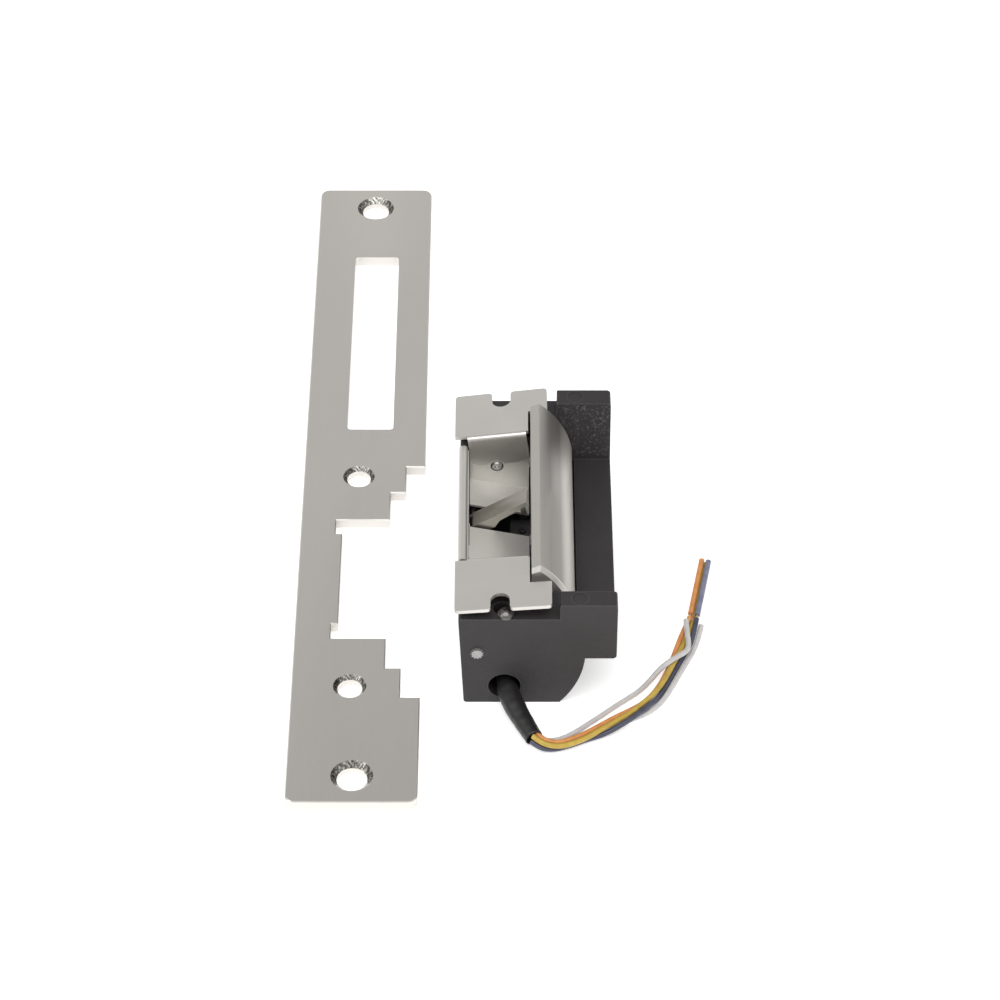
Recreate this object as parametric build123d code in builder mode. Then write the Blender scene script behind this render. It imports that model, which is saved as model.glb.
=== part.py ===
from build123d import *
from math import atan2, cos, degrees, pi, radians, sin, tan
import os

# Electric door strike, laid out as a kit: the faceplate flat beside the strike body.
# Frame: origin on the housing's flat back, half way along the body, on the line of the
# faceplate screws. +Z is the way the latch pocket opens, +Y runs along the body.
# All sizes are in millimetres.

# ---- faceplate -------------------------------------------------------------
PLATE_LENGTH = 250.0
PLATE_WIDTH = 33.0
PLATE_THICK = 3.0
PLATE_LEFT = -53.85                       # x of its left edge
PLATE_MID_Y = 45.8                        # y of its middle
PLATE_CORNER_R = 2.6
END_HOLE_X = PLATE_LEFT + 16.5
END_HOLE_PITCH = 232.0
END_HOLE_R = 3.85
END_SINK_R = 5.35
BODY_HOLE_X = PLATE_LEFT + 15.0           # the holes that hold the body
BODY_HOLE_PITCH = 80.5
BODY_HOLE_R = 3.2
BODY_SINK_R = 4.3
NOTCH_MID_Y = 1.5                         # middle of the stepped notch

# ---- strike body -----------------------------------------------------------
HALF = 41.55                              # half of the body's length
PIN_X, PIN_Z = -6.2, 17.6                 # keeper axis
PIN_R = 1.6
WALL_R = 27.4                             # curved wall, outside, about the keeper axis
CAVITY_R = 25.6                           # curved wall, inside
SKIN_R = 25.2                             # keeper skin, outside
SKIN_THICK = 1.0
LEFT_X = -10.9
INNER_LEFT_X = -9.2
TOP_Z = 29.2                              # top of the near end block and the left wall
FAR_TOP_Z = 30.3                          # top of the far end block
WING_TOP_Z = 34.0
WING_LEFT_X = 14.7
WING_RIGHT_X = 29.1
WING_FLOOR_Z = 17.0
WING_UNDER_Z = 15.6
WING_BLOCK = 5.3                          # thickness of the wing's end blocks along y
SLOT_NEAR_Y, SLOT_FAR_Y = -31.6, 33.0     # ends of the cavity that the keeper turns in
COVER_THICK = 1.6
COVER_SCREWS = ((-5.4, -36.0), (8.8, -36.0), (-5.4, 37.3), (8.8, 37.3))
TAB_SCREW = (1.1, -39.6)

# ---- keeper ----------------------------------------------------------------
KEEPER_NEAR_Y, KEEPER_FAR_Y = -31.0, 32.5
LIP_X = 7.6                               # the face that holds the latch
LIP_Z = 37.0                              # apex of the lip
LIP_EDGE_Z = 36.0                         # its edge at the latch face
LIP_LOW_Z = 25.5
SKIN_LOW_DEG = 8.0
ARM_THICK = 1.2
BOSS_R = 3.0
RUNNING = 0.05                            # radial clearance where a shaft turns or slides

# ---- pocket ends and brackets ----------------------------------------------
NEAR_SEAT_Y, FAR_SEAT_Y = -25.15, 25.45   # end walls of the pocket, where the screws sit
TILT_X, TILT_Z = -1.2, 21.8               # screw that each bracket is held by
SHEET = 1.0
BEND_R = 1.2                              # outside radius between tab and flange
FLANGE_LEFT_X = -7.6
ARCH_R = 2.9                              # arch of the flange over its screw's head
TAB_TOP_Z = 33.0
TAB_LEFT_X, TAB_RIGHT_X = -10.9, 13.6     # before the tilt
NEAR_TILT, FAR_TILT = 4.9, 7.4            # degrees, right side up
SLOT_W = 4.9
SCREW_HEAD_R = 1.45                       # of the screws that the brackets rock on

# ---- latch lever -----------------------------------------------------------
LEVER_X, LEVER_Z = -7.6, 14.4
LEVER_PIN_R = 0.8
LEVER_NEAR_Y, LEVER_FAR_Y = 7.0, 12.4
LEVER_SHEET = 0.8

# ---- solenoid and locking bolt, on one axis along y ------------------------
COIL_X, COIL_Z = -3.9, 8.9
YOKE_NEAR_Y, YOKE_FAR_Y = -24.4, -2.4
YOKE_SHEET = 1.2
CORE_R = 2.0
BOLT_R = 1.8
BOLT_COLLAR_R = 2.9
SPRING_END_Y = 26.45                      # seat of the bolt's return spring
ROD_R = 1.2

# ---- cable -----------------------------------------------------------------
SLEEVE_D = 5.0
OUTLET_X, OUTLET_Z, OUTLET_R = 0.7, 5.8, 4.15
WIRE_D = 1.4
STRAND_D = 0.7
SLUG_D = 1.46                             # insulation slug pushed out to a wire's tip
SLUG_LENGTH = 21.0
BARE_GAP = 1.4                            # bare strand between wire and slug

os.makedirs("parts", exist_ok=True)
made = []


def save(part, label):
    """Label a finished piece and write it."""
    part.label = label
    export_step(part, f"parts/{label}.step")
    made.append(label)


def section(y):
    """The x-z plane at y, drawn as seen from the near end: x right, z up; extrudes towards -y."""
    return Plane(origin=(0, y, 0), x_dir=(1, 0, 0), z_dir=(0, -1, 0))


def about_pin(radius, angle):
    """A point of the x-z plane, in polar form about the keeper axis."""
    a = radians(angle)
    return (PIN_X + radius * cos(a), PIN_Z + radius * sin(a))


# ============================ faceplate =====================================
with BuildPart() as faceplate:
    with BuildSketch(Plane.XY):
        with Locations((PLATE_LEFT + PLATE_WIDTH / 2, PLATE_MID_Y)):
            RectangleRounded(PLATE_WIDTH, PLATE_LENGTH, PLATE_CORNER_R)
    extrude(amount=PLATE_THICK)
    # window for a deadbolt
    with BuildSketch(Plane.XY):
        with Locations((PLATE_LEFT + 17.55, 99.7)):
            RectangleRounded(12.7, 76.8, 1.0)
    extrude(amount=PLATE_THICK, mode=Mode.SUBTRACT)
    # notch for latch and keeper: two steps, then the latch window with its relief corners
    with BuildSketch(Plane.XY):
        for left, right, length in ((27.9, 34.0, 88.5), (23.8, 29.0, 67.4), (16.0, 25.0, 45.5),
                                    (11.2, 17.0, 34.7)):
            with Locations((PLATE_LEFT + (left + right) / 2, NOTCH_MID_Y)):
                Rectangle(right - left, length)
        for side in (-1, 1):
            with Locations((PLATE_LEFT + 13.2, NOTCH_MID_Y + side * 20.05)):
                Rectangle(7.6, 5.4)
    extrude(amount=PLATE_THICK, mode=Mode.SUBTRACT)
    with Locations((END_HOLE_X, PLATE_MID_Y + END_HOLE_PITCH / 2, PLATE_THICK),
                   (END_HOLE_X, PLATE_MID_Y - END_HOLE_PITCH / 2, PLATE_THICK)):
        CounterSinkHole(END_HOLE_R, END_SINK_R, counter_sink_angle=90)
    with Locations((BODY_HOLE_X, NOTCH_MID_Y + BODY_HOLE_PITCH / 2, PLATE_THICK),
                   (BODY_HOLE_X, NOTCH_MID_Y - BODY_HOLE_PITCH / 2, PLATE_THICK)):
        CounterSinkHole(BODY_HOLE_R, BODY_SINK_R, counter_sink_angle=90)
    rim = faceplate.faces().sort_by(Axis.Z)[-1].outer_wire().edges()
    chamfer(rim, 0.25)
save(faceplate.part, "faceplate")

# ============================ housing =======================================
with BuildPart() as housing:
    # end profile: left wall, end block top, wing, and the curved wall about the keeper axis
    with BuildSketch(section(HALF)):
        with BuildLine():
            wing_foot = (PIN_X + (WALL_R**2 - (WING_UNDER_Z - PIN_Z)**2) ** 0.5, WING_UNDER_Z)
            back_edge = (PIN_X + (WALL_R**2 - PIN_Z**2) ** 0.5, 0)
            Polyline(back_edge, (LEFT_X + 1.2, 0), (LEFT_X, TOP_Z), (WING_LEFT_X, TOP_Z),
                     (WING_LEFT_X, WING_TOP_Z), (WING_RIGHT_X, WING_TOP_Z),
                     (WING_RIGHT_X, WING_UNDER_Z), wing_foot)
            ThreePointArc(wing_foot, about_pin(WALL_R, -22), back_edge)
        make_face()
    extrude(amount=2 * HALF)
    upright = housing.edges().filter_by(Axis.Y)
    fillet(upright.filter_by(lambda e: e.center().X > 28), 1.05)
    fillet(upright.filter_by(lambda e: e.center().X < -9), 0.8)
    fillet(upright.filter_by(lambda e: abs(e.center().X - WING_LEFT_X) < 0.1 and e.center().Z > 33), 0.5)
    # the far end block is higher than the rest
    with BuildSketch(section(HALF)):
        with BuildLine():
            Polyline((LEFT_X + 0.1, 28.0), (LEFT_X, FAR_TOP_Z - 0.8), (LEFT_X + 0.8, FAR_TOP_Z),
                     (WING_LEFT_X + 0.1, FAR_TOP_Z), (WING_LEFT_X + 0.1, 28.0), close=True)
        make_face()
    extrude(amount=HALF - SLOT_FAR_Y)
    # wing between its end blocks: open above the floor, the far end sloping
    with BuildSketch(Plane(origin=(WING_LEFT_X - 0.1, 0, 0), z_dir=(1, 0, 0), x_dir=(0, 1, 0))):
        with BuildLine():
            Polyline((WING_BLOCK - HALF, WING_FLOOR_Z), (33.1, WING_FLOOR_Z), (HALF - WING_BLOCK, 36),
                     (WING_BLOCK - HALF, 36), close=True)
        make_face()
    extrude(amount=20, mode=Mode.SUBTRACT)
    # cavity that the keeper turns in, open at the top and at the back
    with BuildSketch(section(SLOT_FAR_Y)):
        with Locations((PIN_X, PIN_Z)):
            Circle(CAVITY_R)
        with Locations(((INNER_LEFT_X + 40) / 2, 20)):
            Rectangle(40 - INNER_LEFT_X, 2 * 40, mode=Mode.INTERSECT)
    extrude(amount=SLOT_FAR_Y - SLOT_NEAR_Y, mode=Mode.SUBTRACT)
    # the ends of the pocket, which carry the pins, the brackets and the floor
    for near_y, far_y in ((-27.6, NEAR_SEAT_Y), (FAR_SEAT_Y, 30.9)):
        with BuildSketch(section(far_y)):
            with BuildLine():
                Polyline((INNER_LEFT_X - 0.4, COVER_THICK), (4, COVER_THICK), (7.0, 12.5),
                         (7.0, 28.4), (INNER_LEFT_X - 0.4, 28.4), close=True)
            make_face()
        extrude(amount=far_y - near_y)
    # left wall is lower between the pocket ends, where the rail sits on it
    with BuildSketch(Plane.XY.offset(27.4)):
        with Locations((LEFT_X + 0.5, 2.3)):
            Rectangle(4, 44.9)
    extrude(amount=5, mode=Mode.SUBTRACT)
    # pin bores, cable outlet, bolt guide, bracket and tab screw holes
    with Locations(Plane(origin=(PIN_X, -25, PIN_Z), z_dir=(0, 1, 0))):
        Hole(PIN_R + 0.01, 17)
    with Locations(Plane(origin=(PIN_X, 26, PIN_Z), z_dir=(0, -1, 0))):
        Hole(PIN_R + 0.01, 12)
    with Locations(Plane(origin=(OUTLET_X, -HALF, OUTLET_Z), z_dir=(0, -1, 0))):
        Hole(OUTLET_R, 16.5)
    with Locations(Plane(origin=(COIL_X, 26, COIL_Z), z_dir=(0, -1, 0))):
        Hole(BOLT_R + RUNNING, 11)
    with Locations(Plane(origin=(COIL_X, FAR_SEAT_Y, COIL_Z), z_dir=(0, -1, 0))):
        Hole(BOLT_COLLAR_R + 0.1, SPRING_END_Y - FAR_SEAT_Y)
    with Locations(Plane(origin=(TILT_X, -25, TILT_Z), z_dir=(0, 1, 0))):
        Hole(1.1, 2.3)
    with Locations(Plane(origin=(TILT_X, 26, TILT_Z), z_dir=(0, -1, 0))):
        Hole(1.1, 4.2)
    with Locations((0.0, -37.4, TOP_Z), (0.4, 37.1, FAR_TOP_Z)):
        Hole(2.2, 9)
    with Locations((*TAB_SCREW, TOP_Z)):
        Hole(0.9, 6)
    # cover rebate and its screw bores, and the moulded pads at the wing's end blocks
    with BuildSketch(Plane.XY):
        with Locations((2.2, 0)):
            Rectangle(20.4, 2 * HALF - 3.2)
    extrude(amount=COVER_THICK, mode=Mode.SUBTRACT)
    for x, y in COVER_SCREWS:
        with Locations(Plane(origin=(x, y, COVER_THICK), z_dir=(0, 0, -1))):
            Hole(0.9, 7)
    with Locations((19.6, -38.9, WING_TOP_Z), (19.6, 38.9, WING_TOP_Z)):
        Hole(2.1, 0.25)
save(housing.part, "housing")

with BuildPart() as back_cover:
    with BuildSketch(Plane.XY):
        with Locations((2.2, 0)):
            Rectangle(20.2, 2 * HALF - 3.4)
    extrude(amount=COVER_THICK - 0.02)
    for x, y in COVER_SCREWS:
        with Locations(Plane(origin=(x, y, 0), z_dir=(0, 0, -1))):
            CounterSinkHole(1.15, 2.1, counter_sink_angle=90)
save(back_cover.part, "back_cover")

with BuildPart() as cover_screws:
    for x, y in COVER_SCREWS:
        with BuildSketch(Plane(origin=(x, y, 0), x_dir=(1, 0, 0), z_dir=(0, -1, 0))):
            with BuildLine():
                Polyline((0, 0.15), (1.9, 0.15), (0.88, 1.17), (0.88, 7), (0, 8), close=True)
            make_face()
        revolve(axis=Axis((x, y, 0), (0, 0, 1)))
save(cover_screws.part, "cover_screws")

# ============================ pocket ========================================
FLOOR_LEFT, FLOOR_RIGHT = (-8.4, 17.0), (7.3, 13.5)
SCREW_HOLE_R = 1.75                       # in the end walls, with a drawn collar

# Two bent sheets, one at each side of the lever's slot: the sloping floor and an end wall.
for label, floor_near_y, floor_far_y, wall_y, collar_y in (
        ("near_liner", -25.1, 6.3, -23.25, -22.95), ("far_liner", 15.0, 25.4, 25.4, 25.1)):
    with BuildPart() as liner:
        with BuildSketch(section(floor_far_y)):
            with BuildLine():
                Polyline(FLOOR_LEFT, FLOOR_RIGHT, (FLOOR_RIGHT[0], FLOOR_RIGHT[1] - 0.6),
                         (FLOOR_LEFT[0], FLOOR_LEFT[1] - 0.6), close=True)
            make_face()
        extrude(amount=floor_far_y - floor_near_y)
        with BuildSketch(section(wall_y)):
            with BuildLine():
                Polyline(FLOOR_LEFT, (7.3, 13.5), (7.3, 25.0), (FLOOR_LEFT[0], 26.0), close=True)
            make_face()
            with Locations((TILT_X, TILT_Z)):
                Circle(SCREW_HOLE_R, mode=Mode.SUBTRACT)
        extrude(amount=0.35)
        with BuildSketch(section(collar_y)):
            with Locations((TILT_X, TILT_Z)):
                Circle(SCREW_HOLE_R + 0.4)
                Circle(SCREW_HOLE_R, mode=Mode.SUBTRACT)
        extrude(amount=0.35)
    save(liner.part, label)

with BuildPart() as pocket_rail:
    with BuildSketch(section(23.6)):
        with Locations((-10.0, 28.75)):
            RectangleRounded(2.3, 2.6, 1.0)
        with Locations((-8.85, 22.8)):
            Rectangle(0.6, 11.4)
    extrude(amount=43.7)
save(pocket_rail.part, "pocket_rail")

with BuildPart() as bracket_screws:
    for seat_y, out in ((NEAR_SEAT_Y, 1), (FAR_SEAT_Y, -1)):
        with BuildSketch(Plane(origin=(TILT_X, seat_y, TILT_Z), x_dir=(1, 0, 0), z_dir=(0, 0, 1))):
            with BuildLine():
                Polyline((0, out * 0.9), (1.1, out * 0.9), (SCREW_HEAD_R, out * 0.55),
                         (SCREW_HEAD_R, 0), (1.05, 0), (1.05, -out * 1.5), (0, -out * 2.0), close=True)
            make_face()
        revolve(axis=Axis((TILT_X, seat_y, TILT_Z), (0, 1, 0)))
        with BuildSketch(section(seat_y + out * 0.9)):
            with Locations((TILT_X, TILT_Z)):
                RegularPolygon(0.75, 6)
        extrude(amount=out * 0.6, mode=Mode.SUBTRACT)
save(bracket_screws.part, "bracket_screws")

with BuildPart() as tab_screw:
    # small screw with a domed cross-slot head
    with BuildSketch(Plane(origin=(*TAB_SCREW, 0), x_dir=(1, 0, 0), z_dir=(0, -1, 0))):
        with BuildLine():
            Polyline((0, TOP_Z + 1.7), (0, 23.8), (0.87, 24.5), (0.87, TOP_Z), (2.15, TOP_Z),
                     (2.15, TOP_Z + 0.5))
            ThreePointArc((2.15, TOP_Z + 0.5), (1.3, TOP_Z + 1.35), (0, TOP_Z + 1.7))
        make_face()
    revolve(axis=Axis((*TAB_SCREW, 0), (0, 0, 1)))
    with BuildSketch(Plane.XY.offset(TOP_Z + 1.1)):
        with Locations(TAB_SCREW):
            Rectangle(1.6, 0.4)
            Rectangle(0.4, 1.6)
    extrude(amount=1, mode=Mode.SUBTRACT)
save(tab_screw.part, "tab_screw")


# ============================ brackets ======================================
def bracket(end_y, flange_y, flange_right_x, notch_x, notch_y, slot_mid_x, slot_round_y, tilt):
    """Bent sheet: a tab over the end block and a flange down the pocket's end wall."""
    inward = 1 if end_y < 0 else -1
    bend_y = flange_y - inward * BEND_R
    bend_z = TAB_TOP_Z - BEND_R
    back_y = flange_y - inward * SHEET
    slot_y = slot_round_y - inward * SLOT_W / 2
    with BuildPart(mode=Mode.PRIVATE) as blank:
        # tab with its open screw slot and the cut-away for the keeper
        with BuildSketch(Plane.XY.offset(TAB_TOP_Z - SHEET)) as tab:
            with Locations(((TAB_LEFT_X + TAB_RIGHT_X) / 2, (end_y + bend_y) / 2)):
                Rectangle(TAB_RIGHT_X - TAB_LEFT_X, abs(end_y - bend_y))
            with Locations(((notch_x + TAB_RIGHT_X + 1) / 2, (notch_y + bend_y + inward) / 2)):
                Rectangle(TAB_RIGHT_X + 1 - notch_x, abs(bend_y + inward - notch_y), mode=Mode.SUBTRACT)
            with Locations((slot_mid_x, slot_y)):
                Circle(SLOT_W / 2, mode=Mode.SUBTRACT)
            with Locations((slot_mid_x, (slot_y + end_y - inward) / 2)):
                Rectangle(SLOT_W, abs(end_y - inward - slot_y), mode=Mode.SUBTRACT)
            fillet(tab.vertices().filter_by(lambda v: abs(v.Y - end_y) < 0.01), 1.0)
        extrude(amount=SHEET)
        # bend and flange
        with BuildSketch(Plane(origin=(FLANGE_LEFT_X, 0, 0), z_dir=(1, 0, 0), x_dir=(0, 1, 0))):
            with BuildLine():
                outer, inner = [(bend_y + inward * r * cos(pi / 4), bend_z + r * sin(pi / 4))
                                for r in (BEND_R, BEND_R - SHEET)]
                ThreePointArc((bend_y, TAB_TOP_Z), outer, (flange_y, bend_z))
                Polyline((flange_y, bend_z), (flange_y, 22.5), (back_y, 22.5), (back_y, bend_z))
                ThreePointArc((back_y, bend_z), inner, (bend_y, TAB_TOP_Z - SHEET))
                Line((bend_y, TAB_TOP_Z - SHEET), (bend_y, TAB_TOP_Z))
            make_face()
        extrude(amount=flange_right_x - FLANGE_LEFT_X)
        # wavy lower edge, arched over the head of the screw
        with BuildSketch(section(max(flange_y, back_y) + 1)):
            with BuildLine():
                Polyline((-9, 22), (-9, 24.5), (-7.0, 24.3), (-5.6, 23.4), (4.4, 23.4), (6.0, 23.9),
                         (8, 24.1), (8, 22), close=True)
            make_face()
            with Locations((TILT_X, TILT_Z)):
                Circle(ARCH_R)
        extrude(amount=SHEET + 2, mode=Mode.SUBTRACT)
    hinge = Axis((TILT_X, 0, TILT_Z), (0, 1, 0))
    return blank.part.rotate(hinge, -tilt)


near_bracket = bracket(-HALF, -22.0, 7.7, 8.1, -32.7, 0.6, -36.0, NEAR_TILT)
save(near_bracket, "near_bracket")
far_bracket = bracket(HALF, 23.8, 7.9, 8.5, 32.7, 1.4, 35.7, FAR_TILT)
save(far_bracket, "far_bracket")

# ============================ keeper ========================================
lip_deg = degrees(atan2(LIP_Z - PIN_Z, ((SKIN_R**2 - (LIP_Z - PIN_Z) ** 2) ** 0.5)))
inner_r = SKIN_R - SKIN_THICK
under_edge_z, under_lip_z = LIP_EDGE_Z - 0.65, LIP_Z - 1.2
under_lip_deg = degrees(atan2(under_lip_z - PIN_Z, (inner_r**2 - (under_lip_z - PIN_Z) ** 2) ** 0.5))

with BuildPart() as keeper_skin:
    with BuildSketch(section(KEEPER_FAR_Y)):
        with BuildLine():
            Polyline(about_pin(SKIN_R, lip_deg), (LIP_X, LIP_EDGE_Z), (LIP_X, LIP_LOW_Z),
                     (LIP_X + SKIN_THICK, LIP_LOW_Z), (LIP_X + SKIN_THICK, under_edge_z),
                     about_pin(inner_r, under_lip_deg))
            ThreePointArc(about_pin(inner_r, under_lip_deg), about_pin(inner_r, 25),
                          about_pin(inner_r, SKIN_LOW_DEG))
            Line(about_pin(inner_r, SKIN_LOW_DEG), about_pin(SKIN_R, SKIN_LOW_DEG))
            ThreePointArc(about_pin(SKIN_R, SKIN_LOW_DEG), about_pin(SKIN_R, 25),
                          about_pin(SKIN_R, lip_deg))
        make_face()
    extrude(amount=KEEPER_FAR_Y - KEEPER_NEAR_Y - ARM_THICK - 0.02)
    lip_edge = keeper_skin.edges().filter_by(Axis.Y).sort_by(Axis.Z)[-2:]
    fillet(lip_edge, 0.3)
    with Locations(Plane(origin=(LIP_X, -14, 31), z_dir=(-1, 0, 0)),
                   Plane(origin=(LIP_X, 16, 31), z_dir=(-1, 0, 0))):
        Hole(1.0, 1.2)
save(keeper_skin.part, "keeper_skin")

with BuildPart() as keeper_frame:
    # the near arm's rim caps the end of the skin
    with BuildSketch(section(KEEPER_NEAR_Y + ARM_THICK)):
        with BuildLine():
            Polyline(about_pin(SKIN_R, lip_deg), (LIP_X, LIP_EDGE_Z), (LIP_X, LIP_LOW_Z),
                     (LIP_X + 2, LIP_LOW_Z), (LIP_X + 2, under_edge_z - 1), about_pin(inner_r - 1, 45))
            ThreePointArc(about_pin(inner_r - 1, 45), about_pin(inner_r - 1, 25),
                          about_pin(inner_r - 1, SKIN_LOW_DEG))
            Line(about_pin(inner_r - 1, SKIN_LOW_DEG), about_pin(SKIN_R, SKIN_LOW_DEG))
            ThreePointArc(about_pin(SKIN_R, SKIN_LOW_DEG), about_pin(SKIN_R, 25),
                          about_pin(SKIN_R, lip_deg))
        make_face()
    extrude(amount=ARM_THICK)
    near_rim = keeper_frame.faces().sort_by(Axis.Y)[0].edges().filter_by(
        lambda e: (e.center() - Vector(PIN_X, KEEPER_NEAR_Y, PIN_Z)).length > 21.5 and e.length > 2.3)
    chamfer(near_rim, 0.9)
    # an arm at each end, from the pin boss to the skin
    for far_y in (KEEPER_NEAR_Y + ARM_THICK, KEEPER_FAR_Y):
        with BuildSketch(section(far_y)):
            with BuildLine():
                fit_r = inner_r - 0.03
                Polyline(about_pin(fit_r, SKIN_LOW_DEG), about_pin(BOSS_R, -75), about_pin(BOSS_R, 110),
                         (LIP_X - 0.6, LIP_LOW_Z - 0.3), (LIP_X + SKIN_THICK + 0.03, LIP_LOW_Z - 0.1),
                         (LIP_X + SKIN_THICK + 0.03, under_edge_z - 0.05), about_pin(fit_r, 48.6))
                ThreePointArc(about_pin(fit_r, 48.6), about_pin(fit_r, 25), about_pin(fit_r, SKIN_LOW_DEG))
            make_face()
            with Locations((PIN_X, PIN_Z)):
                Circle(BOSS_R)
        extrude(amount=ARM_THICK)
    # the plate that joins them behind the lip
    with BuildSketch(section(KEEPER_FAR_Y - ARM_THICK + 0.01)):
        with Locations((LIP_X + SKIN_THICK + 0.53, 30.7)):
            Rectangle(1.0, 8.8)
    extrude(amount=KEEPER_FAR_Y - KEEPER_NEAR_Y - 2 * ARM_THICK + 0.02)
    # finger on the far arm that the locking bolt stops
    with BuildSketch(section(KEEPER_FAR_Y)):
        with BuildLine():
            Polyline(about_pin(1.9, -95), about_pin(10.4, -60), about_pin(10.4, -46), about_pin(2.6, -10),
                     close=True)
        make_face()
    extrude(amount=ARM_THICK)
    with Locations(Plane(origin=(PIN_X, KEEPER_FAR_Y, PIN_Z), z_dir=(0, 1, 0))):
        Hole(PIN_R + RUNNING, KEEPER_FAR_Y - KEEPER_NEAR_Y)
    with Locations(Plane(origin=(LIP_X + SKIN_THICK, -14, 31), z_dir=(-1, 0, 0)),
                   Plane(origin=(LIP_X + SKIN_THICK, 16, 31), z_dir=(-1, 0, 0))):
        Hole(1.0, 1.2)
save(keeper_frame.part, "keeper_frame")

with BuildPart() as keeper_rivets:
    for y in (-14, 16):
        with BuildSketch(Plane(origin=(0, y, 31), x_dir=(1, 0, 0), z_dir=(0, -1, 0))):
            with BuildLine():
                Polyline((LIP_X - 0.35, 0), (LIP_X - 0.35, 1.0), (LIP_X, 1.6), (LIP_X, 0.97),
                         (LIP_X + 2.06, 0.97), (LIP_X + 2.06, 1.6), (LIP_X + 2.7, 0.9),
                         (LIP_X + 2.7, 0), close=True)
            make_face()
        revolve(axis=Axis((0, y, 31), (1, 0, 0)))
save(keeper_rivets.part, "keeper_rivets")

# Keeper pins: the near one ends proud of the end face and is splined there.
with BuildPart() as keeper_pins:
    with BuildSketch(section(-27.2)):
        with Locations((PIN_X, PIN_Z)):
            Circle(PIN_R)
    extrude(amount=HALF - 27.2 + 0.6)
    with BuildSketch(section(-HALF + 0.01)):
        with Locations((PIN_X, PIN_Z)):
            with PolarLocations(PIN_R, 11):
                Circle(0.32)
    extrude(amount=1, mode=Mode.SUBTRACT)
    with BuildSketch(section(37.5)):
        with Locations((PIN_X, PIN_Z)):
            Circle(PIN_R)
    extrude(amount=37.5 - 26.7)
save(keeper_pins.part, "keeper_pins")

with BuildPart() as keeper_spring:
    # torsion spring round the near pin, one leg on the arm
    with BuildLine():
        coil = Helix(0.62, 1.24, 2.0, center=(PIN_X, -29.45, PIN_Z), direction=(0, 1, 0))
    with BuildSketch(Plane(origin=coil @ 0, z_dir=coil % 0)):
        Circle(0.24)
    sweep(path=coil)
save(keeper_spring.part, "keeper_spring")

# ============================ latch lever ===================================
with BuildPart() as latch_lever:
    # two cheeks hung from the pin, and the plate that the latch presses
    top_left, top_right, end_low = (-7.6, 16.3), (6.5, 25.1), (6.5, 24.0)
    for far_y, low in ((LEVER_NEAR_Y + LEVER_SHEET, (4.6, 22.1)), (LEVER_FAR_Y, (4.6, 21.6))):
        with BuildSketch(section(far_y)):
            with BuildLine():
                Polyline(top_left, top_right, end_low, low, (-0.4, 18.5), (-1.7, 16.2),
                         (LEVER_X + 0.5, LEVER_Z - 1.2), (LEVER_X - 0.8, LEVER_Z), close=True)
            make_face()
            with Locations((LEVER_X, LEVER_Z)):
                Circle(1.45)
        extrude(amount=LEVER_SHEET)
    with BuildSketch(section(LEVER_FAR_Y)):
        with BuildLine():
            Polyline(top_left, top_right, end_low, (-7.0, 15.8), close=True)
        make_face()
    extrude(amount=LEVER_FAR_Y - LEVER_NEAR_Y)
    # foot that reaches down to the switch
    with BuildSketch(section(LEVER_FAR_Y)):
        with BuildLine():
            Polyline((4.2, 22.0), (5.3, 22.6), (6.7, 16.5), (5.3, 16.4), close=True)
        make_face()
    extrude(amount=LEVER_SHEET)
    with Locations(Plane(origin=(LEVER_X, LEVER_FAR_Y, LEVER_Z), z_dir=(0, 1, 0))):
        Hole(LEVER_PIN_R + RUNNING, 8)
save(latch_lever.part, "latch_lever")

with BuildPart() as lever_pin:
    with BuildSketch(section(16.6)):
        with Locations((LEVER_X, LEVER_Z)):
            Circle(LEVER_PIN_R)
    extrude(amount=14)
    # the two posts of the cover that carry it
    for far_y in (16.6, 4.8):
        with BuildSketch(section(far_y)):
            with Locations((LEVER_X, LEVER_Z - 6.4)):
                Rectangle(1.6, 12.8)
            with Locations((LEVER_X, LEVER_Z)):
                Circle(1.3)
        extrude(amount=2.0)
save(lever_pin.part, "lever_pin")

# ============================ solenoid and bolt =============================
with BuildPart() as solenoid_yoke:
    with BuildSketch(section(YOKE_FAR_Y)):
        with Locations((COIL_X, 8.0)):
            Rectangle(9.8, 12.0)
    extrude(amount=YOKE_FAR_Y - YOKE_NEAR_Y)
    with BuildSketch(section(YOKE_FAR_Y - YOKE_SHEET)):
        with Locations((COIL_X, 8.0 + YOKE_SHEET)):
            Rectangle(12, 12.0)
    extrude(amount=YOKE_FAR_Y - YOKE_NEAR_Y - 2 * YOKE_SHEET, mode=Mode.SUBTRACT)
    with Locations(Plane(origin=(COIL_X, YOKE_FAR_Y, COIL_Z), z_dir=(0, 1, 0))):
        Hole(CORE_R + 0.1, 30)
save(solenoid_yoke.part, "solenoid_yoke")

with BuildPart() as coil_bobbin:
    with BuildSketch(section(YOKE_FAR_Y - YOKE_SHEET - 0.05)):
        with Locations((COIL_X, COIL_Z)):
            Circle(2.7)
    extrude(amount=19.5)
    for y in (YOKE_FAR_Y - YOKE_SHEET - 0.05, YOKE_NEAR_Y + YOKE_SHEET + 0.95):
        with BuildSketch(section(y)):
            with Locations((COIL_X, COIL_Z)):
                Circle(4.8)
        extrude(amount=0.8)
    with Locations(Plane(origin=(COIL_X, 0, COIL_Z), z_dir=(0, 1, 0))):
        Hole(CORE_R + RUNNING, 40)
save(coil_bobbin.part, "coil_bobbin")

with BuildPart() as coil_winding:
    with BuildSketch(section(-4.6)):
        with Locations((COIL_X, COIL_Z)):
            Circle(4.4)
            Circle(2.75, mode=Mode.SUBTRACT)
    extrude(amount=17.4)
save(coil_winding.part, "coil_winding")

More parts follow.
